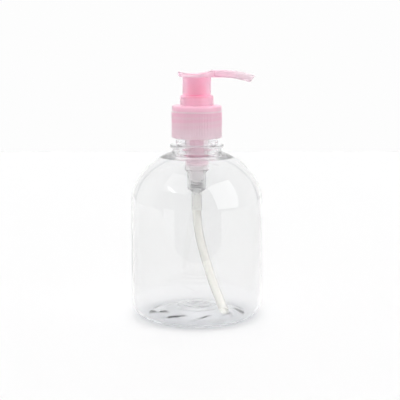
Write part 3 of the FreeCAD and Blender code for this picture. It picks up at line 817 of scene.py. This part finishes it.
class PUMPBOTTLE_OT_closure(bpy.types.Operator):
    """Add the ribbed screw closure with its inside thread"""

    bl_idname = "pumpbottle.closure"
    bl_label = "Closure"

    def execute(self, context):
        look = settings()
        band_r = CLOSURE_R - 0.15
        foot = CLOSURE_BOTTOM + 0.8
        roof = CLOSURE_TOP - 1.35
        outline = rounded([
            (CLOSURE_BORE_R, foot), (CLOSURE_BORE_R, CLOSURE_BOTTOM, 0.2), (CLOSURE_R, CLOSURE_BOTTOM, 0.4),
            (CLOSURE_R, foot)])
        outline += rows(CLOSURE_R, foot, CLOSURE_BAND_Z - 0.25, 1.2)[1:]
        outline += rounded([
            (CLOSURE_R, CLOSURE_BAND_Z - 0.25), (band_r - 0.25, CLOSURE_BAND_Z, 0.08),
            (band_r, CLOSURE_BAND_Z + 0.3, 0.1), (band_r - 0.15, CLOSURE_TOP, 1.0),
            (CLOSURE_HOLE_R, CLOSURE_TOP, 0.3), (CLOSURE_HOLE_R, roof, 0.2), (CLOSURE_BORE_R, roof, 0.5),
            (CLOSURE_BORE_R, roof - 1.0)])[1:]
        outline += rows(CLOSURE_BORE_R, roof - 1.0, foot, 0.34)[1:-1]
        obj = lathe("ribbed_closure", outline, look.rib_count * 6)
        pink = material_named("Pink Closure Plastic")
        obj = with_thread(obj, CLOSURE_BORE_R, CLOSURE_THREAD_Z, math.pi / 2, -1.3, pink)
        obj = run_geometry(obj, rib_tree(), {
            "Wall Radius": CLOSURE_R * MM, "Band Bottom": (foot + 0.6) * MM,
            "Band Top": (CLOSURE_BAND_Z - 0.9) * MM, "Count": look.rib_count, "Depth": look.rib_depth,
            "Material": pink})
        place(obj, "closure", "pink_closure", "closure", angle_deg=60)
        return {"FINISHED"}


class PUMPBOTTLE_OT_collar(bpy.types.Operator):
    """Add the lock collar with its sleeve and lock groove"""

    bl_idname = "pumpbottle.collar"
    bl_label = "Lock Collar"

    def execute(self, context):
        skirt_bottom = CLOSURE_TOP + 0.15
        pocket_r = 6.5
        pocket_z = 139.4
        hole_r = 5.2
        housing_neck_r = 8.6
        outline = rounded([
            (hole_r, SLEEVE_BOTTOM + 1), (hole_r, SLEEVE_BOTTOM, 0.2), (BARREL_BORE_R, SLEEVE_BOTTOM, 0.3),
            (BARREL_BORE_R, HOUSING_TOP), (housing_neck_r, HOUSING_TOP), (housing_neck_r, skirt_bottom, 0.2),
            (COLLAR_R, skirt_bottom, 0.3), (COLLAR_R, COLLAR_TOP, 1.6), (pocket_r, COLLAR_TOP, 0.3),
            (pocket_r, pocket_z, 0.2), (hole_r, pocket_z, 0.2), (hole_r, pocket_z - 1)], 5)
        obj = lathe("lock_collar_skin", outline, 128)
        groove = helix_ridge("groove", pocket_r - 0.4, 6.85, pocket_z + 0.6, 4.0, 1.5, 0, 1.6, 0.9)
        obj = combined("lock_collar_skin", obj, removed=[groove])
        place(obj, "lock_collar", "pink_collar", "pump", "Pink Head Plastic")
        return {"FINISHED"}


class PUMPBOTTLE_OT_housing(bpy.types.Operator):
    """Add the milky pump housing with its valve seat, ball cage and tail"""

    bl_idname = "pumpbottle.housing"
    bl_label = "Pump Housing"

    def execute(self, context):
        flange_low = GASKET_HIGH.z
        flange_high = flange_low + 1.3
        seat = 81.4
        cage_top = 86.7
        cage_r = 2.95
        cage_bore = 2.35
        ball_way_r = 1.6
        inlet_r = 1.4
        neck_r = 8.6
        ridge = 0.3
        chamber_low, chamber_high = 83.8, 94.5
        barrel_low = 96.2
        vent_r, vent_z = 0.6, 126
        outline = rounded([
            (inlet_r, TUBE_TOP), (TUBE_R + 0.02, TUBE_TOP), (TUBE_R + 0.02, TAIL_BOTTOM, 0.1),
            (TAIL_R, TAIL_BOTTOM, 0.1), (TAIL_R + ridge, TAIL_BOTTOM + 0.5), (TAIL_R, TAIL_BOTTOM + 1.0),
            (TAIL_R, TAIL_BOTTOM + 2.3), (TAIL_R + ridge, TAIL_BOTTOM + 2.8), (TAIL_R, TAIL_BOTTOM + 3.3),
            (TAIL_R, seat + 0.2, 0.6), (CHAMBER_R, chamber_low - 0.3, 0.5),
            (CHAMBER_R, chamber_high - 0.4, 0.8), (BARREL_R, barrel_low - 0.4, 0.8),
            (BARREL_R, flange_low, 0.3), (FLANGE_R, flange_low, 0.15),
            (FLANGE_R, flange_high, 0.15), (neck_r, flange_high, 0.2), (neck_r, HOUSING_TOP, 0.2),
            (BARREL_BORE_R, HOUSING_TOP, 0.2), (BARREL_BORE_R, barrel_low, 0.8),
            (CHAMBER_BORE_R, chamber_high, 0.8), (CHAMBER_BORE_R, chamber_low, 0.3),
            (cage_r, chamber_low, 0.2), (cage_r, cage_top, 0.3), (ball_way_r, cage_top, 0.1),
            (ball_way_r, cage_top - 0.7), (cage_bore, cage_top - 0.7), (cage_bore, seat + 0.6),
            (inlet_r, seat - 0.5)], 4)
        obj = lathe("pump_barrel", outline, 96)
        vent = lathe("vent", rod_outline(vent_r, -8.6, -6.0), 20)
        vent.data.transform(Matrix.Translation((0, 0, vent_z * MM)) @ Matrix.Rotation(math.pi / 2, 4, "Y"))
        obj = combined("pump_barrel", obj, removed=[vent])
        place(obj, "pump_housing", "milky_pp", "pump", "Natural Housing Plastic")
        return {"FINISHED"}


def tube_line():
    """The dip tube's centre line in metres, one smooth curve of order 3 through its route."""
    curve = bpy.data.curves.new("tube_line", "CURVE")
    curve.dimensions = "3D"
    spline = curve.splines.new("NURBS")
    spline.points.add(len(TUBE_ROUTE) - 1)
    for point, (out, z) in zip(spline.points, TUBE_ROUTE):
        point.co = (out * math.cos(TUBE_LEAN) * MM, out * math.sin(TUBE_LEAN) * MM, z * MM, 1)
    spline.order_u = 3
    spline.use_endpoint_u = True
    spline.resolution_u = 12
    line = evaluated_copy(added("tube_line", curve), "tube_line")
    points = [v.co.copy() for v in line.data.vertices]
    bpy.data.objects.remove(line)
    if points[0].z < points[-1].z:
        points.reverse()
    return points


def tube_rings(line, radius, cut_place, cut_normal):
    """Rings of points about the line, the last one slid along it onto the slanting cut."""
    rings = []
    turns = [math.tau * k / TUBE_SIDES for k in range(TUBE_SIDES)]
    side = Vector((0, 1, 0))
    for i, centre in enumerate(line):
        if (centre - cut_place).dot(cut_normal) > -radius * 1.6:
            break
        along = (line[min(i + 1, len(line) - 1)] - line[max(i - 1, 0)]).normalized()
        across = side.cross(along).normalized()
        up = along.cross(across)
        rings.append([
            centre + (across * math.cos(turn) + up * math.sin(turn)) * radius for turn in turns
        ])
        last_along = along
    rings.append([
        p + last_along * ((cut_place - p).dot(cut_normal) / last_along.dot(cut_normal)) for p in rings[-1]
    ])
    return rings


class PUMPBOTTLE_OT_dip_tube(bpy.types.Operator):
    """Add the curved dip tube with its slanting end"""

    bl_idname = "pumpbottle.dip_tube"
    bl_label = "Dip Tube"

    def execute(self, context):
        line = tube_line()
        ends = [
            Vector((out * math.cos(TUBE_LEAN), out * math.sin(TUBE_LEAN), z)) for out, z in TUBE_ROUTE[-2:]
        ]
        cut_place = (ends[0] + (ends[1] - ends[0]) * TUBE_CUT_AT) * MM
        slant = math.radians(TUBE_CUT_DEG)
        cut_normal = Vector((0, -math.sin(slant), -math.cos(slant)))
        outer = tube_rings(line, TUBE_R * MM, cut_place, cut_normal)
        inner = tube_rings(line, TUBE_BORE_R * MM, cut_place, cut_normal)
        obj = skinned("natural_dip_tube", outer + inner[::-1], looped=True)
        place(obj, "dip_tube", "tube_pe", "pump", "Natural Tube Plastic", 50)
        return {"FINISHED"}


class PUMPBOTTLE_OT_inner_works(bpy.types.Operator):
    """Add the gasket, valve ball, return spring, piston rod, piston and stem"""

    bl_idname = "pumpbottle.inner_works"
    bl_label = "Inner Works"

    def gasket(self):
        low, high = GASKET_LOW.z, GASKET_HIGH.z
        outer = half_width("neck_gasket")
        obj = lathe("foam_gasket", rounded([
            (BARREL_R, low + 0.5), (BARREL_R, low, 0.1), (outer, low, 0.15), (outer, high, 0.15),
            (BARREL_R, high, 0.1), (BARREL_R, high - 0.5)]), 96)
        place(obj, "neck_gasket", "gasket_foam", "pump", "Gasket Foam")

    def ball(self):
        centre = (BALL_LOW + BALL_HIGH) / 2
        radius = half_width("inlet_ball")
        steps = 32
        outline = [(radius * math.sin(math.pi * i / steps), centre.z - radius * math.cos(math.pi * i / steps))
                   for i in range(1, steps)]
        obj = lathe("glass_ball", [(0, centre.z - radius)] + outline + [(0, centre.z + radius)], 48)
        place(obj, "inlet_ball", "ball_glass", "inlet_ball", "Ball Glass", 80)

    def spring(self):
        look = settings()
        wire = 0.4
        holder = object_from("steel_spring", [], [])
        obj = run_geometry(holder, spring_tree(), {
            "Mean Radius": 3.8 * MM, "Wire Radius": wire * MM, "Bottom": (SPRING_LOW.z + wire) * MM,
            "Height": (SPRING_HIGH.z - SPRING_LOW.z - 2 * wire) * MM, "Turns": look.spring_turns,
            "Material": material_named("Spring Steel")})
        obj = place(obj, "return_spring", "spring_steel", None, angle_deg=60)
        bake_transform(obj)

    def rod(self):
        flange = PISTON_LOW.z
        fit = STEM_BORE_R - 0.02
        top = low_high("piston_rod")[1].z
        pin = 2.85
        foot = ROD_BOTTOM + 2.0
        obj = lathe("piston_core", rounded([
            (0, ROD_BOTTOM), (pin, ROD_BOTTOM, 0.3), (pin, foot), (4.2, foot, 0.2), (4.2, flange - 1.2, 0.2),
            (6.0, flange - 1.2, 0.2), (6.0, flange, 0.2), (fit, flange), (fit, top - 1), (fit - 1, top, 0.2),
            (0, top)]), 72)
        flutes = []
        flute_r, flute_out = 0.9, 3.2 * MM
        for turn in (0, math.tau / 3, 2 * math.tau / 3):
            flute = lathe("flute", rod_outline(flute_r, flange + 0.6, top + 0.5), 24)
            flute.data.transform(Matrix.Translation(
                (flute_out * math.cos(turn), flute_out * math.sin(turn), 0)))
            flutes.append(flute)
        obj = combined("piston_core", obj, removed=flutes)
        place(obj, "piston_rod", "rod_pp", "rod", "White Rod Plastic")

    def piston(self):
        low, high = PISTON_LOW.z, PISTON_HIGH.z
        lip = half_width("piston")
        hub = STEM_BORE_R + 0.05
        web = low + 1.2
        hub_top = 103.35
        obj = lathe("wiping_piston", rounded([
            (hub, low + 0.5), (hub, low, 0.1), (STEM_R, low, 0.2), (STEM_R, web, 0.2), (lip - 0.9, web, 0.2),
            (lip - 0.5, low, 0.1), (lip, low, 0.1), (lip, low + 0.8, 0.2), (lip - 0.3, web, 0.2),
            (lip - 0.3, high - 1.2, 0.2), (lip, high - 0.8, 0.2), (lip, high, 0.1), (lip - 0.5, high, 0.1),
            (lip - 0.9, web + 1.2, 0.2), (STEM_R, web + 1.2, 0.2), (STEM_R, hub_top, 0.1),
            (hub, hub_top, 0.1), (hub, hub_top - 1.35)], 3), 96)
        place(obj, "piston", "pink_piston", "piston", "Pink Head Plastic")

    def stem(self):
        low, high = STEM_LOW.z, STEM_HIGH.z
        obj = lathe("hollow_stem", rounded([
            (STEM_BORE_R, low + 1), (STEM_BORE_R, low, 0.2), (STEM_R, low, 0.3), (STEM_R, high, 0.1),
            (STEM_BORE_R, high, 0.1), (STEM_BORE_R, high - 1)]), 72)
        place(obj, "stem", "pink_stem", "head", "Pink Head Plastic")

    def execute(self, context):
        self.gasket()
        self.ball()
        self.spring()
        self.rod()
        self.piston()
        self.stem()
        return {"FINISHED"}


def thumb_pad():
    """The saddle-shaped pad: a closed oval cushion of plastic with rounded rims."""
    lip_x = HEAD_LOW.x
    half_length = (PAD_END_X - lip_x) / 2
    middle_x = lip_x + half_length
    saddle = arc_points(*PAD_SADDLE, 40)

    def top(x):
        for a, b in zip(saddle, saddle[1:]):
            if x <= b[0]:
                share = max(0.0, (x - a[0]) / (b[0] - a[0]))
                return a[1] + (b[1] - a[1]) * share
        return PAD_SADDLE[-1][1]

    def bottom(x):
        return ROOF_Z + max(0.0, -SKIRT_R - x) * 0.25

    profile = [(share, top, 0.0) for share in (0.15, 0.3, 0.45, 0.6, 0.75, 0.88)]
    for step in range(6):
        lean = math.pi / 2 * step / 5
        inset = PAD_EDGE_R / half_length * (1 - math.sin(lean))
        profile.append((1 - inset, top, PAD_EDGE_R * (1 - math.cos(lean))))
    profile += [(share, bottom, -drop) for share, _, drop in profile][::-1]
    count = 96
    rings = [[Vector((middle_x, 0, top(middle_x))) * MM]]
    for share, level, drop in profile:
        ring = []
        for k in range(count):
            turn = math.tau * k / count
            x = middle_x + half_length * share * math.cos(turn)
            y = PAD_HALF_WIDTH * share * math.sin(turn)
            ring.append(Vector((x, y, level(x) - drop)) * MM)
        rings.append(ring)
    rings.append([Vector((middle_x, 0, bottom(middle_x))) * MM])
    return skinned("thumb_pad", rings)


def spout_line(share):
    """Centre and droop of the spout, from its root at 0 to its far end at 1."""
    along = share * (SPOUT_STRAIGHT + SPOUT_BEND_R * math.radians(SPOUT_BEND_DEG))
    if along <= SPOUT_STRAIGHT:
        return Vector((SPOUT_ROOT_X + along, 0, SPOUT_Z)), 0.0
    turn = (along - SPOUT_STRAIGHT) / SPOUT_BEND_R
    x = SPOUT_ROOT_X + SPOUT_STRAIGHT + SPOUT_BEND_R * math.sin(turn)
    return Vector((x, 0, SPOUT_Z - SPOUT_BEND_R * (1 - math.cos(turn)))), turn


def rounded_rectangle(width, height, corner, steps=6):
    """Points around a rounded rectangle, as (across, up)."""
    points = []
    for quarter in range(4):
        u = width / 2 - corner if quarter in (0, 3) else corner - width / 2
        v = height / 2 - corner if quarter in (0, 1) else corner - height / 2
        for step in range(steps + 1):
            turn = math.pi / 2 * (quarter + step / steps)
            points.append((u + corner * math.cos(turn), v + corner * math.sin(turn)))
    return points


def spout_skin(name, widths, heights, roundness, cut, shares):
    """A skin along the spout. The last section is slid along it onto the slanting mouth if cut."""
    slant = math.radians(SPOUT_CUT_DEG)
    normal = Vector((math.cos(slant), 0, -math.sin(slant)))
    mouth = Vector((SPOUT_END[0], 0, SPOUT_END[1]))
    sections = []
    for share in shares:
        centre, droop = spout_line(share)
        along = Vector((math.cos(droop), 0, -math.sin(droop)))
        up = Vector((math.sin(droop), 0, math.cos(droop)))
        width = widths[0] + (widths[1] - widths[0]) * share
        height = heights[0] + (heights[1] - heights[0]) * share
        section = []
        for u, v in rounded_rectangle(width, height, roundness * height):
            point = centre + Vector((0, u, 0)) + up * v
            if cut and share == shares[-1]:
                point += along * ((mouth - point).dot(normal) / along.dot(normal))
            section.append(point * MM)
        sections.append(section)
    return skinned(name, sections)


class PUMPBOTTLE_OT_head(bpy.types.Operator):
    """Add the pump head: skirt, socket, thumb pad and curved spout in one moulding"""

    bl_idname = "pumpbottle.head"
    bl_label = "Pump Head"

    def execute(self, context):
        skirt_low = 144.4
        socket_low = HEAD_LOW.z
        under_roof = ROOF_Z + 0.3
        duct_r, duct_z = 2.4, 154.6
        channel_r = 1.5
        bend_z, bend_length = 154.2, 11.5
        well_low, well_high = 150.0, 154.9
        stem_seat = 151.0
        sideways = Matrix.Rotation(math.pi / 2, 4, "Y")
        skirt = lathe("skirt", rounded([
            (SKIRT_R - 1, skirt_low + 1), (SKIRT_R - 1, skirt_low, 0.2), (SKIRT_R, skirt_low, 0.3),
            (SKIRT_R, under_roof), (SKIRT_R - 1, under_roof)]), 128)
        socket = lathe("socket", rounded([
            (0, socket_low), (SOCKET_R, socket_low, 0.3), (SOCKET_R, under_roof), (0, under_roof)]), 96)
        thread = helix_ridge("lock_thread", SOCKET_R - 0.2, 6.2, socket_low + 0.75, 4.0, 0.7, 90, 1.3, 0.7)
        duct = lathe("duct", rod_outline(duct_r, 0, SKIRT_R - 0.5), 32)
        duct.data.transform(Matrix.Translation((0, 0, duct_z * MM)) @ sideways)
        shares = [i / 24 for i in range(25)]
        spout = spout_skin("spout", (6.6, 5.4), (4.6, 5.3), 0.4, True, [s * 0.86 for s in shares] + [0.895])
        channel = spout_skin("channel", (3.0, 3.0), (3.0, 3.0), 0.49, False, [s * 1.1 for s in shares])
        bend = lathe("bend", rod_outline(channel_r, 0, bend_length), 24)
        rise = math.atan2(SPOUT_Z - 154.4, 10.0)
        bend.data.transform(Matrix.Translation((-0.6 * MM, 0, bend_z * MM))
                            @ Matrix.Rotation(math.pi / 2 - rise, 4, "Y"))
        well = lathe("well", rod_outline(channel_r, well_low, well_high), 24)
        bore = lathe("bore", rod_outline(STEM_R, socket_low - 1, stem_seat), 72)
        head = combined("pump_head_skin", thumb_pad(), joined=[skirt, socket, duct, thread, spout],
                        removed=[bore, well, bend, channel])
        place(head, "pump_head", "pink_head", "head", "Pink Head Plastic", 30)
        return {"FINISHED"}


class PUMPBOTTLE_OT_stage(bpy.types.Operator):
    """Add the pale floor, the soft studio lights and the camera"""

    bl_idname = "pumpbottle.stage"
    bl_label = "Studio Stage"

    def floor(self):
        """A pale table top whose front edge is close to the bottle."""
        front, back, side = -0.235, 0.9, 0.8
        corners = [(-side, front, 0), (side, front, 0), (side, back, 0), (-side, back, 0)]
        obj = object_from("studio_floor", corners, [(0, 1, 2, 3)])
        obj.data.materials.append(material_named("Studio Floor"))

    def softbox(self, name, turn_deg, lift_deg, width_deg, height_deg, radiance, roll_deg):
        """A lamp panel that shows in glossy surfaces only, at this angle as seen from the shoulder.
        Turn 0 is the camera's side, positive towards +X, and roll tips the panel in its plane."""
        turn, lift = math.radians(turn_deg), math.radians(lift_deg)
        data = bpy.data.lights.new(name, "AREA")
        data.shape = "RECTANGLE"
        data.size = 2 * SOFTBOX_DISTANCE * math.tan(math.radians(width_deg / 2))
        data.size_y = 2 * SOFTBOX_DISTANCE * math.tan(math.radians(height_deg / 2))
        data.energy = radiance * math.pi * data.size * data.size_y
        toward = Vector((math.sin(turn) * math.cos(lift), -math.cos(turn) * math.cos(lift), math.sin(lift)))
        lamp = added(name, data)
        lamp.location = Vector((0, 0, DOME_Z * MM)) + toward * SOFTBOX_DISTANCE
        roll = Matrix.Rotation(math.radians(roll_deg), 3, "Z")
        lamp.rotation_euler = ((-toward).to_track_quat("-Z", "Y").to_matrix() @ roll).to_euler()
        lamp.visible_diffuse = False
        lamp.visible_transmission = False

    def overhead(self):
        """Even light from a wide soft source straight above."""
        data = bpy.data.lights.new("overhead_light", "SUN")
        data.energy = SUN_STRENGTH
        data.angle = math.radians(SUN_SPREAD_DEG)
        data.cycles.use_multiple_importance_sampling = False
        lamp = added("overhead_light", data)
        lamp.visible_glossy = False
        lamp.visible_transmission = False

    def surroundings(self):
        """White behind the bottle, grey on the camera's side and a darker band between. A ray that went
        through many walls sees mostly white, a blurred one an even bright white, and matt surfaces
        see none of it."""
        world = bpy.data.worlds.new("Studio Surroundings")
        bpy.context.scene.world = world
        world.use_nodes = True
        world.cycles_visibility.diffuse = False
        world.node_tree.nodes.clear()
        wiring = Wiring(world.node_tree)
        toward = wiring.node("ShaderNodeTexCoord").outputs["Generated"]
        depth = wiring.node("ShaderNodeSeparateXYZ", {0: toward}).outputs[1]
        sides = wiring.mix(wiring.ramp(depth, -0.5, 0.35), CAMERA_SIDE_GREY, WHITE)
        banded = wiring.mix(wiring.window(depth, 0.69, 0.71, 0.05), sides, BAND_GREY)
        path = wiring.node("ShaderNodeLightPath").outputs
        walls = wiring.math("MULTIPLY_ADD", path["Glossy Depth"], 1.5, path["Transmission Depth"])
        buried = wiring.mix(wiring.ramp(walls, 4.0, 7.0, 0.85, "LINEAR"), banded, WHITE)
        even = wiring.mix(path["Is Singular Ray"], BLURRED_WHITE, buried)
        direct = wiring.mix(wiring.math("MINIMUM", path["Diffuse Depth"], 1.0), even, BLACK)
        color = wiring.mix(path["Is Camera Ray"], direct, BACKDROP_WHITE)
        sky = wiring.node("ShaderNodeBackground", {"Color": color, "Strength": 1.0})
        wiring.node("ShaderNodeOutputWorld", {"Surface": sky.outputs[0]})

    def camera(self):
        data = bpy.data.cameras.new("studio_camera")
        data.lens = CAMERA_LENS
        data.sensor_width = 36.0
        eye = added("studio_camera", data)
        eye.location = CAMERA_PLACE
        eye.rotation_euler = (math.radians(90 - CAMERA_DOWN_DEG), 0, 0)
        bpy.context.scene.camera = eye

    def execute(self, context):
        self.floor()
        for panel in SOFTBOXES:
            self.softbox(*panel)
        self.overhead()
        self.surroundings()
        self.camera()
        context.scene.view_settings.view_transform = "Standard"
        for limit in ("max_bounces", "glossy_bounces", "transmission_bounces", "transparent_max_bounces"):
            setattr(context.scene.cycles, limit, LIGHT_BOUNCES)
        return {"FINISHED"}


# ---- panel and registration -----------------------------------------------------------

class PUMPBOTTLE_PT_panel(bpy.types.Panel):
    """Lists the settings and the operators in the 3D view's sidebar"""

    bl_idname = "PUMPBOTTLE_PT_panel"
    bl_label = "Pump Bottle"
    bl_space_type = "VIEW_3D"
    bl_region_type = "UI"
    bl_category = "Pump Bottle"

    def draw(self, context):
        look = context.scene.pump_bottle
        for name in look.__annotations__:
            self.layout.prop(look, name)
        for operator in OPERATORS:
            self.layout.operator(operator.bl_idname)


OPERATORS = (
    PUMPBOTTLE_OT_stage,
    PUMPBOTTLE_OT_bottle,
    PUMPBOTTLE_OT_closure,
    PUMPBOTTLE_OT_collar,
    PUMPBOTTLE_OT_housing,
    PUMPBOTTLE_OT_dip_tube,
    PUMPBOTTLE_OT_inner_works,
    PUMPBOTTLE_OT_head,
)
CLASSES = (PumpBottleSettings, *OPERATORS, PUMPBOTTLE_PT_panel)


def register():
    for cls in CLASSES:
        bpy.utils.register_class(cls)
    bpy.types.Scene.pump_bottle = PointerProperty(type=PumpBottleSettings)


def unregister():
    del bpy.types.Scene.pump_bottle
    for cls in reversed(CLASSES):
        bpy.utils.unregister_class(cls)


def main():
    register()
    bpy.ops.pumpbottle.stage()
    bpy.ops.pumpbottle.bottle()
    bpy.ops.pumpbottle.closure()
    bpy.ops.pumpbottle.collar()
    bpy.ops.pumpbottle.housing()
    bpy.ops.pumpbottle.dip_tube()
    bpy.ops.pumpbottle.inner_works()
    bpy.ops.pumpbottle.head()


if __name__ == "__main__":
    main()
